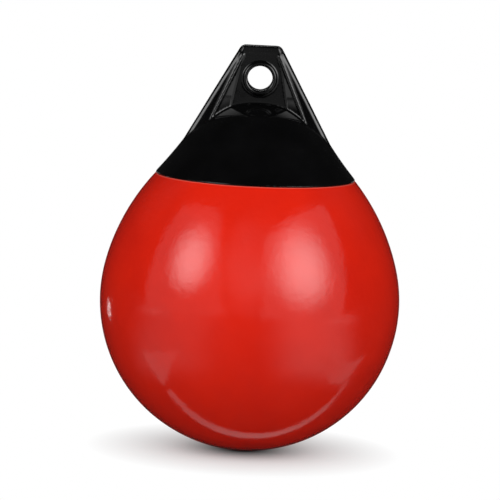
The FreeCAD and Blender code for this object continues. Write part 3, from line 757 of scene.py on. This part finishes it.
class BUOY_OT_stage(bpy.types.Operator):
    """Set the floor, the lights and the camera"""
    bl_idname = "buoy.stage"
    bl_label = "Stage"

    def add_floor(self, stage):
        """Pale floor that keeps the shadow near the object and fades to the white backdrop."""
        deselect()
        bpy.ops.mesh.primitive_circle_add(vertices=96, radius=FLOOR_RADIUS, fill_type="NGON",
                                          location=(0, 0, FLOOR_LEVEL - FLOOR_DROP))
        floor = bpy.context.object
        floor.name = "floor"
        made = Finish("floor")
        made.set(Base_Color=paint(stage.floor), Roughness=0.9, Specular_IOR_Level=0.1)
        tree = made.tree
        far = map_range(tree, from_middle(tree, made.place), stage.fade_start, stage.fade_end)
        white = made.node("Emission", Color=(1, 1, 1, 1), Strength=1.0)
        mix = tree.nodes.new("ShaderNodeMixShader")
        faded = shader_math(tree, "MULTIPLY", far, seen_directly(tree))
        for socket, value in zip(mix.inputs, (faded, made.shader.outputs["BSDF"],
                                              white.outputs["Emission"])):
            tree.links.new(value, socket)
        tree.links.new(mix.outputs["Shader"], tree.nodes["Material Output"].inputs["Surface"])
        coat(floor, made.material)

    def add_world(self, stage):
        """White where it is seen, soft grey where it lights. It isn't sampled as a lamp, because
        its level is not the same for every kind of ray."""
        world = bpy.data.worlds.new("studio")
        world.use_nodes = True
        world.cycles.sampling_method = "NONE"
        tree = world.node_tree
        backdrop = tree.nodes["Background"]
        backdrop.inputs["Color"].default_value = (1, 1, 1, 1)
        tree.links.new(map_range(tree, seen_directly(tree), 0.0, 1.0, stage.ambient, 1.0),
                       backdrop.inputs["Strength"])
        bpy.context.scene.world = world

    def add_dark_walls(self, stage):
        """Dark studio walls and ceiling with a window on the white backdrop, seen only in
        reflections."""
        deselect()
        bpy.ops.mesh.primitive_cylinder_add(
            vertices=72, radius=WALL_RADIUS, depth=WALL_HEIGHT, end_fill_type="NGON",
            location=(0, 0, FLOOR_LEVEL + WALL_LIFT + WALL_HEIGHT / 2))
        walls = bpy.context.object
        walls.name = "dark_walls"
        bpy.ops.object.transform_apply(location=True, rotation=True, scale=True)
        edit(walls)
        for height in (stage.window_foot, stage.window_top):
            bpy.ops.mesh.select_all(action="SELECT")
            bpy.ops.mesh.bisect(plane_co=(0, 0, FLOOR_LEVEL + height), plane_no=(0, 0, 1))
        window_depth = WALL_RADIUS * math.cos(stage.window_half_width)

        def is_open(face):
            middle = face.calc_center_median()
            level = stage.window_foot < middle.z - FLOOR_LEVEL < stage.window_top
            return face.normal.z < -0.9 or (level and middle.y > window_depth)
        pick(walls, "FACE", is_open)
        bpy.ops.mesh.delete(type="FACE")
        bpy.ops.object.mode_set(mode="OBJECT")
        coat(walls, glow("dark_walls", stage.dimness))
        only_in_reflections(walls)

    def add_floor_cards(self, stage):
        """A dark floor in reflections, with soft light and white bounce cards on it."""
        edge = WALL_RADIUS + 0.1
        floor_card("dark_floor", rectangle(-edge, -edge, edge, edge), stage.dimness, lift=0.0002)
        floor_fan("left_fan", azimuth=-53, bright=0.36, lift=0.00025)
        floor_fan("right_fan", azimuth=48, bright=0.66, lift=0.00030)
        for azimuth in (-74, 74):
            floor_pool("side_pool", azimuth, distance=1.05, reach=0.40, middle=0.60, lift=0.00035)
        floor_card("front_strip", [(-0.10, -0.073), (0.16, -0.038), (0.16, -0.032),
                                   (-0.10, -0.062)], 0.6 * stage.bright, lift=0.0004)
        floor_card("left_patch", [(-0.226, -0.050), (-0.177, -0.182), (-0.112, -0.066)],
                   0.62 * stage.bright, lift=0.0004)
        floor_card("right_patch", [(0.132, -0.078), (0.192, -0.166), (0.223, -0.040),
                                   (0.278, 0.022), (0.215, -0.020), (0.149, -0.046)],
                   0.55 * stage.bright, lift=0.0004)

    def add_soft_boxes(self, stage):
        """A soft box on each side, a faint haze in front and a small bright card at the left."""
        soft_box("left_box", azimuth=-50.5, height=24.5, distance=BOX_DISTANCE,
                 corners=[(-0.58, 0.47), (-0.78, -1.00), (0.98, -0.95), (0.12, 0.55)],
                 middle=5.2, edge=0.48, reach=0.44)
        soft_box("right_box", azimuth=42.5, height=23, distance=BOX_DISTANCE,
                 corners=[(-0.46, 0.42), (-0.86, -0.95), (0.60, -0.95), (0.84, 0.69)],
                 middle=5.6, edge=0.65, reach=0.60)
        soft_box("front_haze", azimuth=0, height=8, distance=2 * BOX_DISTANCE,
                 corners=rectangle(-0.9, -0.8, 0.9, 0.9),
                 middle=0.24, edge=stage.dimness, reach=0.65)
        glint = card("glint_card", rectangle(-0.007, -0.022, 0.007, 0.022), 7.0)
        glint.location = (-0.37, 0.25, -0.006)
        glint.rotation_euler = (math.pi / 2, 0.0, math.radians(42))

    def add_lamps(self):
        """Plain light from the front, from both sides and from behind."""
        lamp("front_fill", azimuth=0, height=31, size=2.0, power=37.5)
        lamp("left_key", azimuth=-52, height=32, size=1.6, power=20.0)
        lamp("right_key", azimuth=52, height=32, size=1.6, power=19.5)
        lamp("left_back", azimuth=-125, height=35, size=1.6, power=9.0)
        lamp("right_back", azimuth=125, height=35, size=1.6, power=11.0)

    def add_camera(self, stage):
        """A long lens in front of the object, a little above it and leaning to one side."""
        data = bpy.data.cameras.new("camera")
        data.lens = stage.lens
        data.sensor_width = 36.0
        data.clip_end = 2 * FLOOR_RADIUS
        camera = bpy.data.objects.new("camera", data)
        bpy.context.collection.objects.link(camera)
        back = facing(0, math.degrees(stage.height))
        target = OBJECT_MIDDLE + Vector((stage.aim_right, 0, stage.aim_up))
        camera.location = target + back * stage.distance
        camera.rotation_euler = back.to_track_quat("Z", "Y").to_euler()
        camera.rotation_euler.rotate_axis("Z", -stage.roll)
        bpy.context.scene.camera = camera

    def execute(self, context):
        stage = context.scene.buoy_stage
        self.add_floor(stage)
        self.add_world(stage)
        self.add_dark_walls(stage)
        self.add_floor_cards(stage)
        self.add_soft_boxes(stage)
        self.add_lamps()
        self.add_camera(stage)
        context.scene.view_settings.view_transform = "Standard"
        return {"FINISHED"}


# ---------------------------------------------------------------- panel and run

SETTINGS = {"buoy_ball": BallSettings, "buoy_head": HeadSettings, "buoy_finish": FinishSettings,
            "buoy_stage": StageSettings}
OPERATORS = (BUOY_OT_ball, BUOY_OT_head, BUOY_OT_valve, BUOY_OT_stage)


class BUOY_PT_panel(bpy.types.Panel):
    """The buoy's operators, and the settings of each"""
    bl_idname = "BUOY_PT_panel"
    bl_label = "Anchor Buoy"
    bl_space_type = "VIEW_3D"
    bl_region_type = "UI"
    bl_category = "Buoy"

    def draw(self, context):
        for operator in OPERATORS:
            self.layout.operator(operator.bl_idname)
        for name in SETTINGS:
            group_of_settings = getattr(context.scene, name)
            box = self.layout.box()
            for setting in group_of_settings.bl_rna.properties.keys():
                if setting not in ("rna_type", "name"):
                    box.prop(group_of_settings, setting)


CLASSES = (*SETTINGS.values(), *OPERATORS, BUOY_PT_panel)


def register():
    for made in CLASSES:
        bpy.utils.register_class(made)
    for name, made in SETTINGS.items():
        setattr(bpy.types.Scene, name, bpy.props.PointerProperty(type=made))


def unregister():
    for name in SETTINGS:
        delattr(bpy.types.Scene, name)
    for made in reversed(CLASSES):
        bpy.utils.unregister_class(made)


def main():
    register()
    bpy.ops.buoy.ball()
    bpy.ops.buoy.head()
    bpy.ops.buoy.valve()
    bpy.ops.buoy.stage()
    bpy.context.view_layer.update()


if __name__ == "__main__":
    main()
